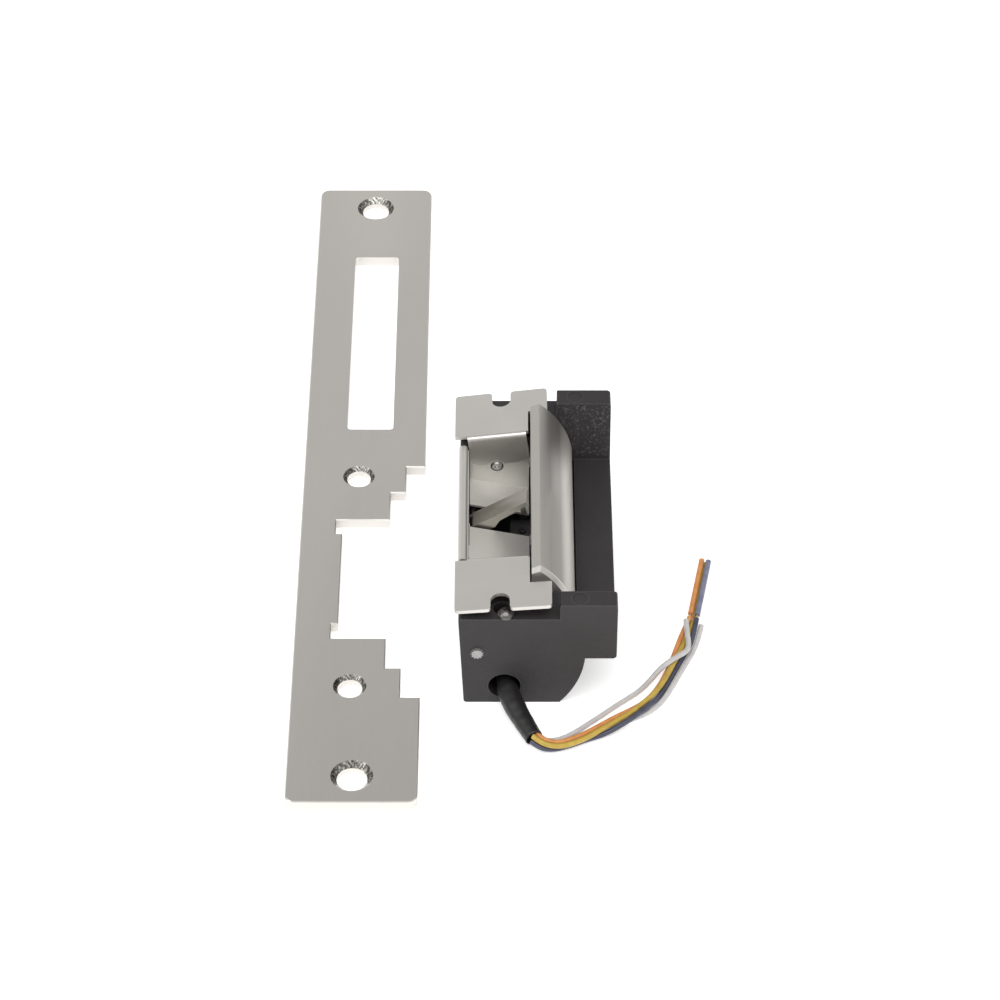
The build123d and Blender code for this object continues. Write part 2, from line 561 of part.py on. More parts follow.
with BuildPart() as pole_piece:
    with BuildSketch(section(YOKE_FAR_Y + 0.6)):
        with Locations((COIL_X, COIL_Z)):
            Circle(CORE_R)
            Circle(ROD_R + RUNNING, mode=Mode.SUBTRACT)
    extrude(amount=10.4)
    with BuildSketch(section(YOKE_FAR_Y + 0.8)):
        with Locations((COIL_X, COIL_Z)):
            Circle(2.9)
            Circle(ROD_R + RUNNING, mode=Mode.SUBTRACT)
    extrude(amount=0.78)
save(pole_piece.part, "pole_piece")

with BuildPart() as locking_bolt:
    # armature, push rod, bolt with the collar that the return spring pushes on
    for far_y, length, radius in ((-15.1, 8.0, CORE_R), (3.0, 19.0, ROD_R), (30.6, 28.6, BOLT_R),
                                  (19.0, 1.0, BOLT_COLLAR_R)):
        with BuildSketch(section(far_y)):
            with Locations((COIL_X, COIL_Z)):
                Circle(radius)
        extrude(amount=length)
    tip = locking_bolt.faces().sort_by(Axis.Y)[-1].edges()
    chamfer(tip, 0.4)
save(locking_bolt.part, "locking_bolt")

with BuildPart() as bolt_spring:
    with BuildLine():
        turns = Helix(1.2, 6.7, 2.35, center=(COIL_X, 19.3, COIL_Z), direction=(0, 1, 0))
    with BuildSketch(Plane(origin=turns @ 0, z_dir=turns % 0)):
        Circle(0.22)
    sweep(path=turns)
save(bolt_spring.part, "bolt_spring")

# ============================ electronics ===================================
BOARD_TOP = 3.2
with BuildPart() as circuit_board:
    with BuildSketch(Plane.XY.offset(BOARD_TOP - 1.2)):
        with Locations((1.9, 11.5)):
            Rectangle(14.2, 27.6)
    extrude(amount=1.2)
    with BuildSketch(Plane.XY.offset(COVER_THICK)):
        for x in (-4.4, 8.2):
            for y in (-1.6, 24.6):
                with Locations((x, y)):
                    Circle(0.7)
    extrude(amount=BOARD_TOP - COVER_THICK)
save(circuit_board.part, "circuit_board")

with BuildPart() as suppressor_diode:
    with BuildSketch(section(24.0)):
        with Locations((5.6, BOARD_TOP + 1.3)):
            Circle(1.25)
    extrude(amount=4.6)
    with BuildSketch(section(25.0)):
        with Locations((5.6, BOARD_TOP + 1.3)):
            Circle(0.3)
    extrude(amount=6.6)
    for y in (24.7, 18.7):
        with BuildSketch(Plane.XY.offset(BOARD_TOP + 0.01)):
            with Locations((5.6, y)):
                Circle(0.3)
        extrude(amount=1.3)
save(suppressor_diode.part, "suppressor_diode")

with BuildPart() as switch_body:
    with BuildSketch(Plane.XY.offset(BOARD_TOP + 0.02)):
        with Locations((5.2, 10.6)):
            Rectangle(5.8, 12.8)
    extrude(amount=6.4)
    fillet(switch_body.edges().filter_by(Axis.Z), 0.5)
    with Locations((5.6, 12.3, BOARD_TOP + 6.42)):
        Hole(0.95, 3)
save(switch_body.part, "switch_body")

with BuildPart() as switch_button:
    with BuildSketch(Plane.XY.offset(7.6)):
        with Locations((5.6, 12.3)):
            Circle(0.9)
    extrude(amount=2.7)
    fillet(switch_button.faces().sort_by(Axis.Z)[-1].edges(), 0.35)
save(switch_button.part, "switch_button")

with BuildPart() as switch_terminals:
    for y in (6.2, 10.6, 15.0):
        with BuildSketch(Plane.XY.offset(BOARD_TOP)):
            with Locations((8.32, y)):
                Rectangle(0.4, 1.0)
        extrude(amount=3.0)
save(switch_terminals.part, "switch_terminals")

with BuildPart() as cable_clamp:
    with BuildSketch(section(-31.7)):
        with Locations((OUTLET_X, OUTLET_Z)):
            Circle(OUTLET_R - 0.02)
            Circle(SLEEVE_D / 2 + 0.01, mode=Mode.SUBTRACT)
    extrude(amount=1.6)
save(cable_clamp.part, "cable_clamp")

# ============================ cable =========================================
# The tubes join the points of a route with tangent arcs. The wires follow the middle line of
# the bundle in lanes: station on that line, distance to its right, height.
SLEEVE_ROUTE = [(0.7, -28.2, 5.8), (0.7, -36.0, 5.8), (1.3, -41.2, 4.85), (3.0, -46.4, 4.0),
                (5.5, -51.6, 3.1), (8.2, -56.8, 2.55)]
BUNDLE_ROUTE = [(8.2, -56.8), (10.0, -58.4), (12.6, -58.9), (15.2, -58.5), (17.9, -57.4),
                (21.5, -55.5), (25.3, -53.2), (29.3, -50.5), (33.0, -47.5), (36.2, -44.4),
                (39.2, -40.7), (41.5, -36.4), (43.4, -31.9), (45.3, -27.2), (47.2, -22.4),
                (48.8, -17.5), (50.1, -12.8)]
LANES = {
    "orange": [(0, -1.0, 3.3), (1, -0.9, 2.9), (2, -0.8, 2.3), (3, -0.74, 2.02), (4, -0.74, 2.0),
               (5, -0.74, 2.05), (6, -1.12, 2.15), (7, -1.4, 2.1), (8, -1.3, 1.6), (9, -1.1, 0.9),
               (10, -1.0, 0.74), (11, -0.85, 0.74), (12, -0.85, 0.74), (13, -1.1, 0.85),
               (14, -1.5, 1.1), (15, -1.4, 1.55), (16, -0.9, 1.95)],
    "yellow": [(0, 0.5, 3.6), (1, 0.55, 3.1), (2, 0.65, 2.5), (3, 0.75, 2.1), (4, 0.74, 2.02),
               (5, 0.74, 2.15), (6, 0.3, 2.45), (7, 0.02, 2.3), (8, 0.0, 2.2), (9, -0.25, 2.15),
               (10, -0.2, 2.05), (11, 0.0, 2.0), (12, 0.0, 2.0), (13, 0.0, 1.85), (14, 0.0, 1.4),
               (15, 0.0, 0.9), (16, 0.0, 0.74)],
    "blue": [(0, 1.2, 2.2), (1, 0.95, 1.4), (2, 0.4, 0.9), (3, 0.0, 0.74), (4, 0.0, 0.74),
             (5, 0.1, 0.74), (6, 1.15, 1.05), (7, 1.6, 1.95), (8, 1.52, 2.2), (9, 1.35, 2.2),
             (10, 1.0, 1.05), (11, 0.8, 0.74), (12, 0.85, 0.74), (13, 1.1, 0.85), (14, 1.5, 1.1),
             (15, 1.4, 1.55), (16, 0.9, 1.95)],
    "white_a": [(0, -1.38, 1.7), (1, -2.05, 1.3), (2, -2.68, 0.95), (3, -2.96, 0.74), (4, -3.1, 0.7),
                (5, -3.7, 0.72), (6, -4.5, 0.7), (7, -5.1, 0.7), (8, -5.4, 0.7), (9, -5.1, 0.7),
                (10, -4.4, 0.75), (10.9, -3.6, 1.2), (11.6, -2.5, 2.5), (12.2, -0.9, 3.5),
                (12.8, 0.8, 3.6), (13.3, 2.1, 3.3), (13.85, 1.7, 2.9), (14.6, 0.1, 2.9),
                (15.5, -1.4, 3.2)],
    "white_b": [(0, 0.1, 1.1), (1, -0.5, 0.95), (2, -1.05, 0.8), (3, -1.48, 0.74), (4, -1.48, 0.72),
                (5, -1.45, 0.72), (6, -1.2, 0.72), (7, -0.3, 0.72), (8, 0.95, 0.7), (9, 2.25, 0.7),
                (10, 2.4, 0.72), (11, 2.3, 0.7), (12, 2.35, 0.7), (13, 2.65, 0.7),
                (14, 2.95, 0.7), (15, 2.75, 0.7), (15.8, 2.45, 0.75)],
}
TIP_WAY = Vector(0.182, 0.983, 0)         # the way the bare tips point


def rightwards(station):
    """Level unit vector to the right of the bundle's middle line at one of its points."""
    before = Vector(*BUNDLE_ROUTE[max(station - 1, 0)])
    after = Vector(*BUNDLE_ROUTE[min(station + 1, len(BUNDLE_ROUTE) - 1)])
    way = (after - before).normalized()
    return Vector(way.Y, -way.X, 0)


def lane(places):
    """The points of one wire's route."""
    route = []
    for station, right, height in places:
        i = min(int(station), len(BUNDLE_ROUTE) - 2)
        part = station - i
        middle = Vector(*BUNDLE_ROUTE[i]) * (1 - part) + Vector(*BUNDLE_ROUTE[i + 1]) * part
        across = (rightwards(i) * (1 - part) + rightwards(i + 1) * part).normalized()
        route.append(middle + across * right + Vector(0, 0, height))
    return route


def tube(route, diameter, name):
    """A round cord along a route, its corners arcs as large as the runs allow."""
    points = [Vector(*p) for p in route]
    runs = [(b - a).length for a, b in zip(points, points[1:])]
    turns = [(b - a).get_angle(c - b) for a, b, c in zip(points, points[1:], points[2:])]
    radii = [0.45 * min(r0, r1) / tan(radians(t / 2)) for r0, r1, t in zip(runs, runs[1:], turns)]
    with BuildPart(mode=Mode.PRIVATE) as cord:
        with BuildLine() as path:
            FilletPolyline(*points, radius=radii)
        with BuildSketch(Plane(origin=points[0], z_dir=points[1] - points[0])):
            Circle(diameter / 2)
        sweep(path=path.wires()[0])
    length = path.wires()[0].length
    ratio = cord.part.volume / (length * pi * diameter**2 / 4)
    print(f"{name}: length {length:.1f}, smallest radius {min(radii):.1f} = "
          f"{min(radii) / diameter:.1f} diameters, volume ratio {ratio:.4f}, lowest z "
          f"{cord.part.bounding_box().min.Z:.2f}")
    save(cord.part, name)


tube(SLEEVE_ROUTE, SLEEVE_D, "cable_sleeve")
for colour, places in LANES.items():
    tube(lane(places), WIRE_D, f"wire_{colour}")


def tip_plane(colour, ahead):
    """The plane square to a wire's bare tip, some way past the wire's end."""
    return Plane(origin=lane(LANES[colour])[-1] + TIP_WAY * ahead, z_dir=TIP_WAY)


with BuildPart() as copper_strands:
    for colour in ("orange", "yellow", "blue"):
        with BuildSketch(tip_plane(colour, 0.05)):
            Circle(STRAND_D / 2)
        extrude(amount=BARE_GAP + SLUG_LENGTH - 0.4)
save(copper_strands.part, "copper_strands")

for colour in ("orange", "yellow", "blue"):
    with BuildPart() as slug:
        with BuildSketch(tip_plane(colour, BARE_GAP)):
            Circle(SLUG_D / 2)
            Circle(STRAND_D / 2 + 0.01, mode=Mode.SUBTRACT)
        extrude(amount=SLUG_LENGTH)
    save(slug.part, f"slug_{colour}")
print(len(made), "pieces")
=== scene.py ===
import math

import bmesh
import bpy
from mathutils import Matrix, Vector


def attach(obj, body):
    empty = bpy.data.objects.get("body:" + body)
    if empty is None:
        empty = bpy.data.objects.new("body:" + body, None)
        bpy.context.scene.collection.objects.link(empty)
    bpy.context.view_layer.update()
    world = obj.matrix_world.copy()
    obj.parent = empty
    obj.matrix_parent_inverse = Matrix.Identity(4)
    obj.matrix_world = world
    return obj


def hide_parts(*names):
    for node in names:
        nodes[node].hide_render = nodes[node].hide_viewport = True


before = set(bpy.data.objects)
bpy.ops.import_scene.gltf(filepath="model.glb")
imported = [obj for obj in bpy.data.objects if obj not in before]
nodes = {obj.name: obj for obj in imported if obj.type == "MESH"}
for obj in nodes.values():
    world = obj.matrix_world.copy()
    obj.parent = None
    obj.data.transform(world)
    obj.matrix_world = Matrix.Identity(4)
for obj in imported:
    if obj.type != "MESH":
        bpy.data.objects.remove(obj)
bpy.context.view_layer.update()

MM = 0.001


def mm(*values):
    """A point given in millimetres, in metres."""
    return Vector(v * MM for v in values)


# ============================ camera ========================================
VIEW_DOWN = math.radians(42.1)      # the camera looks down at this angle, along +Y
VIEW_FROM = mm(-0.4, -680.0, 646.5)
LENS = 127.66

camera = bpy.data.objects.new("camera", bpy.data.cameras.new("camera"))
camera.data.lens = LENS
camera.data.sensor_width = 36.0
camera.location = VIEW_FROM
camera.rotation_euler = (math.pi / 2 - VIEW_DOWN, 0, 0)
bpy.context.collection.objects.link(camera)
bpy.context.scene.camera = camera


# ============================ places the looks follow =======================
# All in metres, in the frame of the parts.
LIP_ENDS = (0.0102, 0.0125)         # X where the keeper's lip passes into its round skin
PALER_FROM = (0.0152, 0.0182)       # X where the tone painted on that skin turns from dark to pale
SLOPE_FROM_Y = 0.0322               # the rough slope of the wing lies past this Y
SLOPE_FROM_Z = 0.018                # and above this Z
# Countersunk holes of the faceplate: X and Y of the middle, and a reach just past the rim.
END_HOLE_X, BODY_HOLE_X = -0.03735, -0.03885
END_SINK_REACH, BODY_SINK_REACH = 0.0057, 0.0047
SINK_MID_Z = 0.0025                 # about half way down a cone
SINKS = [(END_HOLE_X, 0.1618, END_SINK_REACH), (END_HOLE_X, -0.0702, END_SINK_REACH),
         (BODY_HOLE_X, 0.04175, BODY_SINK_REACH), (BODY_HOLE_X, -0.03875, BODY_SINK_REACH)]


# ============================ node helpers ==================================
class Shader:
    """A short way to write a procedural material."""

    def __init__(self, name):
        self.material = bpy.data.materials.new(name)
        self.material.use_nodes = True
        self.tree = self.material.node_tree
        self.surface = self.tree.nodes["Principled BSDF"]
        self.place = self.add("ShaderNodeTexCoord").outputs["Object"]

    def add(self, kind, **settings):
        node = self.tree.nodes.new(kind)
        for key, value in settings.items():
            setattr(node, key, value)
        return node

    def link(self, source, target):
        self.tree.links.new(source, target)

    def put(self, target, value):
        """Link a socket, or set a plain value."""
        if isinstance(value, bpy.types.NodeSocket):
            self.link(value, target)
        else:
            target.default_value = value

    def stretched(self, scale):
        """The object's own coordinates, scaled apart along X, Y and Z."""
        mapping = self.add("ShaderNodeMapping")
        self.link(self.place, mapping.inputs["Vector"])
        mapping.inputs["Scale"].default_value = scale
        return mapping.outputs["Vector"]

    def noise(self, scale, detail=4.0, rough=0.55, where=None, stretch=None):
        node = self.add("ShaderNodeTexNoise")
        self.link(where or (self.stretched(stretch) if stretch else self.place), node.inputs["Vector"])
        node.inputs["Scale"].default_value = scale
        node.inputs["Detail"].default_value = detail
        node.inputs["Roughness"].default_value = rough
        return node.outputs["Fac"]

    def cells(self, scale):
        """Distance to the nearest of many scattered points."""
        node = self.add("ShaderNodeTexVoronoi")
        self.link(self.place, node.inputs["Vector"])
        node.inputs["Scale"].default_value = scale
        return node.outputs["Distance"]

    def span(self, value, low, high, to_low, to_high):
        """A value carried from one range to another, and held at its ends."""
        node = self.add("ShaderNodeMapRange")
        self.link(value, node.inputs["Value"])
        for key, number in (("From Min", low), ("From Max", high), ("To Min", to_low), ("To Max", to_high)):
            node.inputs[key].default_value = number
        return node.outputs["Result"]

    def math(self, operation, a, b=0.0):
        node = self.add("ShaderNodeMath", operation=operation)
        self.put(node.inputs[0], a)
        self.put(node.inputs[1], b)
        return node.outputs[0]

    def mix(self, amount, a, b):
        node = self.add("ShaderNodeMix", data_type="RGBA")
        self.put(node.inputs["Factor"], amount)
        for socket, colour in ((node.inputs["A"], a), (node.inputs["B"], b)):
            self.put(socket, colour if isinstance(colour, bpy.types.NodeSocket) else (*colour, 1.0))
        return node.outputs["Result"]

    def bump(self, height, strength, distance):
        node = self.add("ShaderNodeBump")
        self.link(height, node.inputs["Height"])
        node.inputs["Strength"].default_value = strength
        node.inputs["Distance"].default_value = distance
        self.link(node.outputs["Normal"], self.surface.inputs["Normal"])

    def edge_wear(self, radius):
        """1 along convex edges and 0 on open faces."""
        bevel = self.add("ShaderNodeBevel", samples=4)
        bevel.inputs["Radius"].default_value = radius
        geometry = self.add("ShaderNodeNewGeometry")
        agreement = self.vector_math("DOT_PRODUCT", bevel.outputs["Normal"], geometry.outputs["Normal"])
        return self.span(agreement["Value"], 0.995, 0.9, 0.0, 1.0)

    def axes(self, vector):
        """The X, Y and Z of a vector socket."""
        parts = self.add("ShaderNodeSeparateXYZ")
        self.link(vector, parts.inputs[0])
        return parts.outputs

    def vector_math(self, operation, a, b=(0.0, 0.0, 0.0)):
        node = self.add("ShaderNodeVectorMath", operation=operation)
        self.put(node.inputs[0], a)
        self.put(node.inputs[1], b)
        return node.outputs

    def countersunk(self, holes):
        """On the cones of countersunk holes: where they are, to be painted dark as shade, and fine marks
        round them.
        """
        tilt = self.axes(self.add("ShaderNodeNewGeometry").outputs["True Normal"])["Z"]
        cone = self.math("MULTIPLY", self.math("GREATER_THAN", tilt, 0.3), self.math("LESS_THAN", tilt, 0.9))
        there, marks = 0.0, 0.0
        for x, y, reach in holes:
            out = self.vector_math("SUBTRACT", self.place, (x, y, SINK_MID_Z))["Vector"]
            distance = self.vector_math("LENGTH", out)["Value"]
            around = self.vector_math("NORMALIZE", out)["Vector"]
            near = self.math("MULTIPLY", cone, self.math("LESS_THAN", distance, reach))
            scored = self.math("MULTIPLY", near, self.noise(7.0, 3.0, 0.7, where=around))
            there = self.math("MAXIMUM", there, near)
            marks = self.math("MAXIMUM", marks, scored)
        return there, marks

    def set(self, **values):
        for key, value in values.items():
            self.put(self.surface.inputs[key.replace("_", " ")], value)


def brushed(name, colour, dark, roughness, stretch, metal=1.0, graded=False, sinks=()):
    """Satin sheet metal: long fine streaks one way, cloudy tone, brighter worn edges."""
    look = Shader(name)
    streaks = look.noise(1.0, 6.0, 0.7, stretch=stretch)
    fine = look.noise(1.0, 3.0, 0.6, stretch=tuple(v * 3.1 for v in stretch))
    cloud = look.noise(38.0, 3.0)
    lines = look.math("ADD", look.math("MULTIPLY", streaks, 0.6), look.math("MULTIPLY", fine, 0.4))
    tone = look.math("ADD", look.math("MULTIPLY", lines, 0.7), look.math("MULTIPLY", cloud, 0.3))
    body = look.mix(look.span(tone, 0.25, 0.75, 0.0, 1.0), dark, colour)
    if graded:
        # a painted tone that stands in for reflections on the keeper's round skin: darker beside
        # its lip and paler further out
        across = look.axes(look.place)["X"]
        paler = look.span(across, *PALER_FROM, 0.0, 1.0)
        off_lip = look.span(across, *LIP_ENDS, 0.0, 0.7)
        darker = look.math("MULTIPLY", off_lip, look.math("SUBTRACT", 1.0, paler))
        body = look.mix(darker, body, tuple(v * 0.4 for v in dark))
        body = look.mix(paler, body, (0.72, 0.69, 0.65))
    if sinks:
        there, marks = look.countersunk(sinks)
        # painted shade: the cones of the countersunk holes are coloured dark, with fine pale marks round them
        shaded_marked_cone = look.mix(look.span(marks, 0.46, 0.66, 0.0, 1.0), (0.1, 0.095, 0.088), (0.66, 0.64, 0.6))
        body = look.mix(there, body, shaded_marked_cone)
    bright = tuple(min(1.0, v * 1.22) for v in colour)
    worn = look.math("MULTIPLY", look.edge_wear(0.00025), 0.5)
    look.set(Base_Color=look.mix(worn, body, bright), Metallic=metal,
             Roughness=look.span(lines, 0.3, 0.7, roughness - 0.05, roughness + 0.05), Anisotropic=0.45)
    look.bump(lines, 0.25, 0.000012)
    return look.material


def turned(name, colour, roughness):
    """Bright turned or plated metal."""
    look = Shader(name)
    rings = look.noise(2600.0, 2.0)
    cloud = look.noise(160.0, 3.0)
    shade = tuple(v * 0.86 for v in colour)
    look.set(Base_Color=look.mix(look.span(cloud, 0.35, 0.65, 0.0, 1.0), shade, colour), Metallic=1.0,
             Roughness=look.span(rings, 0.3, 0.7, roughness * 0.7, roughness * 1.3))
    look.bump(rings, 0.2, 0.00002)
    return look.material


def moulded(name, colour, light, roughness, grain_scale, grain=0.00006, flecked=False):
    """Spark-eroded moulded plastic: fine grain, faint flow clouds, scuffed edges."""
    look = Shader(name)
    fine = look.noise(grain_scale, 5.0, 0.65)
    pits = look.cells(grain_scale * 0.55)
    cloud = look.noise(55.0, 4.0)
    specks = look.span(look.noise(grain_scale * 1.7, 2.0), 0.66, 0.74, 0.0, 1.0)
    base = look.mix(look.span(cloud, 0.3, 0.7, 0.0, 1.0), colour, tuple(v * 1.25 for v in colour))
    worn = look.math("MULTIPLY", look.edge_wear(0.0004), 0.55)
    pale = look.math("MAXIMUM", worn, look.math("MULTIPLY", specks, 0.35))
    if flecked:
        # the sloping end of the wing looks rough, with pale flecks
        place = look.axes(look.place)
        facing = look.axes(look.add("ShaderNodeNewGeometry").outputs["Normal"])["Y"]
        high = look.math("MULTIPLY", look.math("GREATER_THAN", place["Z"], SLOPE_FROM_Z),
                         look.math("LESS_THAN", facing, -0.5))
        there = look.math("MULTIPLY", look.math("GREATER_THAN", place["Y"], SLOPE_FROM_Y), high)
        flecks = look.span(look.noise(1500.0, 5.0, 0.7), 0.52, 0.66, 0.0, 0.9)
        pale = look.math("MAXIMUM", pale, look.math("MULTIPLY", there, flecks))
    look.set(Base_Color=look.mix(pale, base, light), Specular_IOR_Level=0.32,
             Roughness=look.span(fine, 0.3, 0.7, roughness - 0.08, roughness + 0.1))
    look.bump(look.math("ADD", fine, look.math("MULTIPLY", pits, 0.6)), 0.5, grain)
    return look.material


def vinyl(name, colour, shade, roughness=0.38, wrinkle=0.00003):
    """Soft wire insulation: faint blotches, dull scuffs and shallow ripples."""
    look = Shader(name)
    blotch = look.noise(420.0, 4.0)
    scuff = look.noise(2300.0, 3.0)
    ripple = look.noise(900.0, 2.0)
    look.set(Base_Color=look.mix(look.span(blotch, 0.35, 0.65, 0.0, 1.0), shade, colour),
             Roughness=look.span(scuff, 0.35, 0.65, roughness - 0.08, roughness + 0.14),
             Specular_IOR_Level=0.5, Subsurface_Weight=0.06, Subsurface_Scale=0.0006)
    look.bump(ripple, 0.4, wrinkle)
    return look.material


steel_plate = brushed("plate_steel", (0.71, 0.685, 0.65), dark=(0.655, 0.63, 0.595), roughness=0.34,
                      stretch=(2600.0, 60.0, 2600.0), sinks=SINKS)
steel_bracket = brushed("bracket_steel", (0.665, 0.645, 0.61), dark=(0.615, 0.595, 0.565), roughness=0.33,
                        stretch=(55.0, 2300.0, 2300.0), metal=0.78)
steel_keeper = brushed("keeper_steel", (0.52, 0.495, 0.462), dark=(0.47, 0.447, 0.418), roughness=0.4,
                       stretch=(2400.0, 45.0, 2400.0), metal=0.75, graded=True)
steel_liner = brushed("liner_steel", (0.86, 0.84, 0.8), dark=(0.79, 0.77, 0.73), roughness=0.42,
                      stretch=(60.0, 1800.0, 1800.0), metal=0.6)
steel_lever = brushed("lever_steel", (0.56, 0.53, 0.475), dark=(0.48, 0.455, 0.41), roughness=0.4,
                      stretch=(90.0, 1500.0, 400.0), metal=0.8)
winding_copper = brushed("winding_copper", (0.55, 0.22, 0.08), dark=(0.4, 0.14, 0.05), roughness=0.35,
                         stretch=(300.0, 5200.0, 300.0))
dull_steel = turned("dull_steel", (0.4, 0.395, 0.385), roughness=0.5)
bright_steel = turned("bright_steel", (0.72, 0.71, 0.7), roughness=0.2)
dark_zinc = turned("dark_zinc", (0.17, 0.162, 0.158), roughness=0.34)
spring_wire = turned("spring_wire", (0.5, 0.5, 0.52), roughness=0.25)
yellow_zinc = turned("yellow_zinc", (0.62, 0.56, 0.38), roughness=0.34)
bare_copper = turned("bare_copper", (0.8, 0.62, 0.45), roughness=0.3)
black_mould = moulded("black_mould", (0.0275, 0.025, 0.0255), light=(0.12, 0.117, 0.12), roughness=0.5,
                      grain_scale=3600.0, flecked=True)
nylon = moulded("nylon", (0.66, 0.63, 0.55), light=(0.8, 0.78, 0.72), roughness=0.45, grain_scale=2600.0)
# the circuit board is near black: painted shade of the slot under the lever, where it lies
board_green = moulded("board_green", (0.03, 0.04, 0.032), light=(0.05, 0.07, 0.055), roughness=0.35,
                      grain_scale=5000.0, grain=0.00002)
gloss_black = moulded("gloss_black", (0.06, 0.058, 0.058), light=(0.08, 0.08, 0.08), roughness=0.32,
                      grain_scale=4200.0, grain=0.00002)
button_black = vinyl("button_black", (0.03, 0.03, 0.03), shade=(0.02, 0.02, 0.02), roughness=0.3)
sleeve_vinyl = vinyl("sleeve_vinyl", (0.013, 0.0122, 0.0122), shade=(0.012, 0.0113, 0.0113), roughness=0.36,
                     wrinkle=0.00006)
vinyl_orange = vinyl("vinyl_orange", (0.7, 0.31, 0.1), shade=(0.6, 0.24, 0.07))
vinyl_yellow = vinyl("vinyl_yellow", (0.57, 0.4, 0.07), shade=(0.47, 0.32, 0.05))
vinyl_blue = vinyl("vinyl_blue", (0.22, 0.23, 0.33), shade=(0.15, 0.16, 0.24))
# the blue wire's insulation is darker than its slug's: painted shade, as it lies low in the bundle under the
# other wires
vinyl_blue_shaded = vinyl("vinyl_blue_shaded", (0.075, 0.08, 0.12), shade=(0.05, 0.055, 0.085))
vinyl_white = vinyl("vinyl_white", (0.6, 0.585, 0.58), shade=(0.53, 0.515, 0.51))

FINISH = {
    "faceplate": steel_plate, "housing": black_mould, "back_cover": black_mould,
    "cover_screws": bright_steel, "near_liner": steel_liner, "far_liner": steel_liner,
    "pocket_rail": steel_bracket, "bracket_screws": bright_steel, "tab_screw": dark_zinc,
    "near_bracket": steel_bracket, "far_bracket": steel_bracket, "keeper_skin": steel_keeper,
    "keeper_frame": steel_bracket, "keeper_rivets": dull_steel, "keeper_pins": dull_steel,
    "keeper_spring": spring_wire, "latch_lever": steel_lever, "lever_pin": dark_zinc,
    "solenoid_yoke": yellow_zinc, "coil_bobbin": nylon, "coil_winding": winding_copper,
    "pole_piece": bright_steel, "locking_bolt": bright_steel, "bolt_spring": spring_wire,
    # the circuit board, switch terminals and lever pin, in the slot under the lever, get dark finishes as
    # painted shade
    "circuit_board": board_green, "suppressor_diode": gloss_black, "switch_body": gloss_black,
    "switch_button": button_black, "switch_terminals": dark_zinc, "cable_clamp": gloss_black,
    "slug_orange": vinyl_orange, "slug_yellow": vinyl_yellow, "slug_blue": vinyl_blue,
    "copper_strands": bare_copper,
}

# Edge rounding that shows as a highlight, in millimetres.
EDGE = {"faceplate": 0.12, "housing": 0.25, "back_cover": 0.15, "near_bracket": 0.14, "far_bracket": 0.14,
        "keeper_skin": 0.14, "keeper_frame": 0.12, "pocket_rail": 0.12, "near_liner": 0.06, "far_liner": 0.06,
        "latch_lever": 0.12, "solenoid_yoke": 0.12, "switch_body": 0.1, "circuit_board": 0.05}


def finish_node(name, material):
    """Give a CAD node its material and rounded edges."""
    obj = nodes[name]
    for place in obj.material_slots:
        place.material = material
    if name in EDGE:
        bevel = obj.modifiers.new("edges", "BEVEL")
        bevel.width = EDGE[name] * MM
        bevel.segments = 2
        bevel.limit_method = "ANGLE"
        bevel.angle_limit = math.radians(32)
        bevel.use_clamp_overlap = True


# ============================ cords =========================================
# Diameters and routes in millimetres.
SLEEVE_D, WIRE_D = 5.0, 1.4
SLEEVE_ROUTE = [(0.7, -28.2, 5.8), (0.7, -36.0, 5.8), (1.3, -41.2, 4.85), (3.0, -46.4, 4.0),
                (5.5, -51.6, 3.1), (8.2, -56.8, 2.55)]
BUNDLE_ROUTE = [(8.2, -56.8), (10.0, -58.4), (12.6, -58.9), (15.2, -58.5), (17.9, -57.4),
                (21.5, -55.5), (25.3, -53.2), (29.3, -50.5), (33.0, -47.5), (36.2, -44.4),
                (39.2, -40.7), (41.5, -36.4), (43.4, -31.9), (45.3, -27.2), (47.2, -22.4),
                (48.8, -17.5), (50.1, -12.8)]
